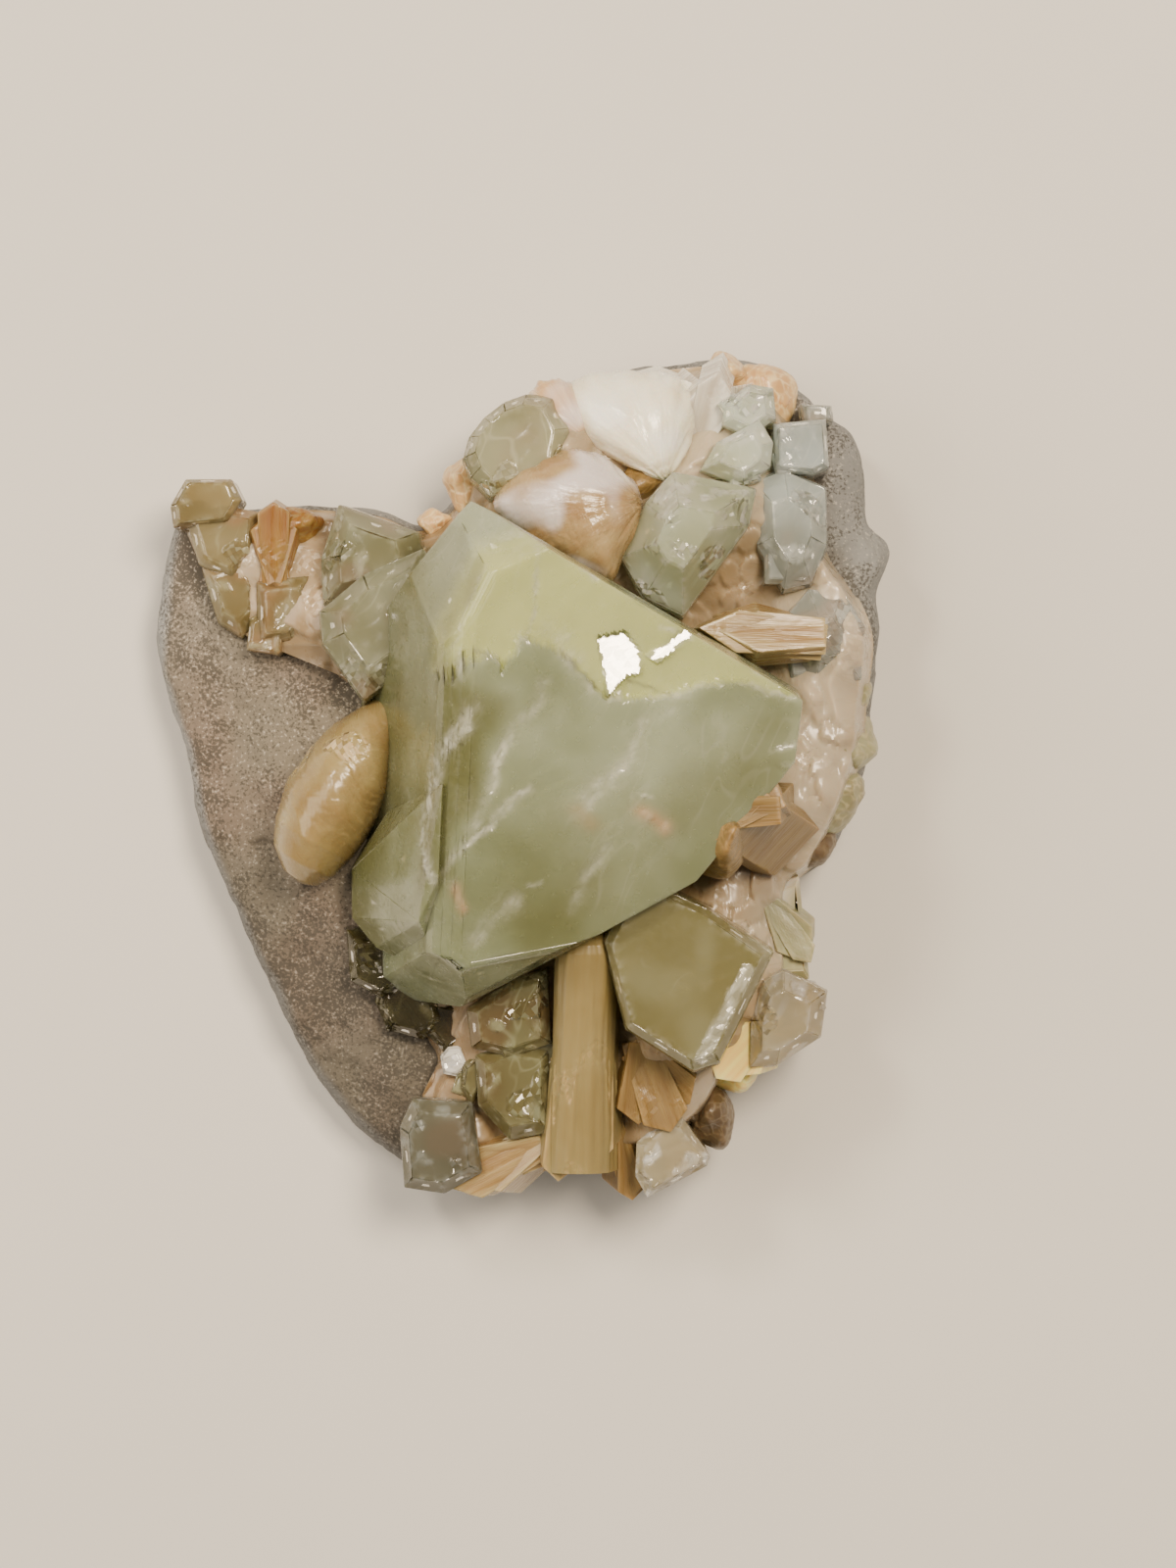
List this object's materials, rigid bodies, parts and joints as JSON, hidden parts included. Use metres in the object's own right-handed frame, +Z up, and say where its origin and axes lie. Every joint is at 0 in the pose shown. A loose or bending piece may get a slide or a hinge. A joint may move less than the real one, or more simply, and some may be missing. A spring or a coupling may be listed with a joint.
{
  "type": "apophyllite cluster",
  "caption": "Mineral specimen: a large blocky green apophyllite among smaller apophyllites and peach stilbite fans on basalt matrix with a flat back.",
  "frame": {"origin": "centre of the bounding box at its lowest level, on the flat back of the matrix", "axes": "+Z up out of the matrix towards the crystals, +Y towards the fans at the wide end, +X to the right seen from above"},
  "size_m": [0.0954, 0.1094, 0.0545],
  "materials": {
    "rock": "dull speckled grey and cream basalt",
    "green": "milky green apophyllite with fractures",
    "paleGreen": "pale green translucent apophyllite",
    "glassy": "clear grey apophyllite",
    "orange": "glossy orange stilbite, finely striated",
    "peach": "silky peach stilbite",
    "pearly": "pearly pinkish white stilbite",
    "cream": "cream stilbite",
    "violet": "dull violet pink crust"
  },
  "bodies": {
    "root": {"matrix_rock": "rock", "right_orange_stilbite": "orange", "large_apophyllite": "green", "block_apophyllite": "green", "upright_stilbite_blade": "orange", "left_stilbite_bow": "orange", "silky_stilbite_blade": "peach", "upper_apophyllites": "paleGreen", "pearly_stilbite_fan": "pearly", "round_apophyllite": "paleGreen", "peach_top_stilbite": "peach", "white_stilbite_fan": "pearly", "grey_stilbite_blades": "pearly", "small_orange_stilbite": "orange", "left_apophyllites": "paleGreen", "band_stilbite": "orange", "corner_apophyllites": "glassy", "notch_stilbite": "peach", "right_apophyllites": "glassy", "yellow_apophyllite": "glassy", "striated_apophyllite": "glassy", "dark_apophyllite": "glassy", "tiny_apophyllite": "glassy", "lower_apophyllites": "glassy", "under_apophyllites": "glassy", "bottom_stilbite_fan": "orange", "lower_left_stilbite": "peach", "yellow_stilbite": "peach", "cream_stilbite": "cream", "bottom_right_stilbite": "violet", "right_stilbite_lumps": "cream", "violet_crust": "violet", "peach_rim_stilbite": "peach"}
  },
  "joints": []
}
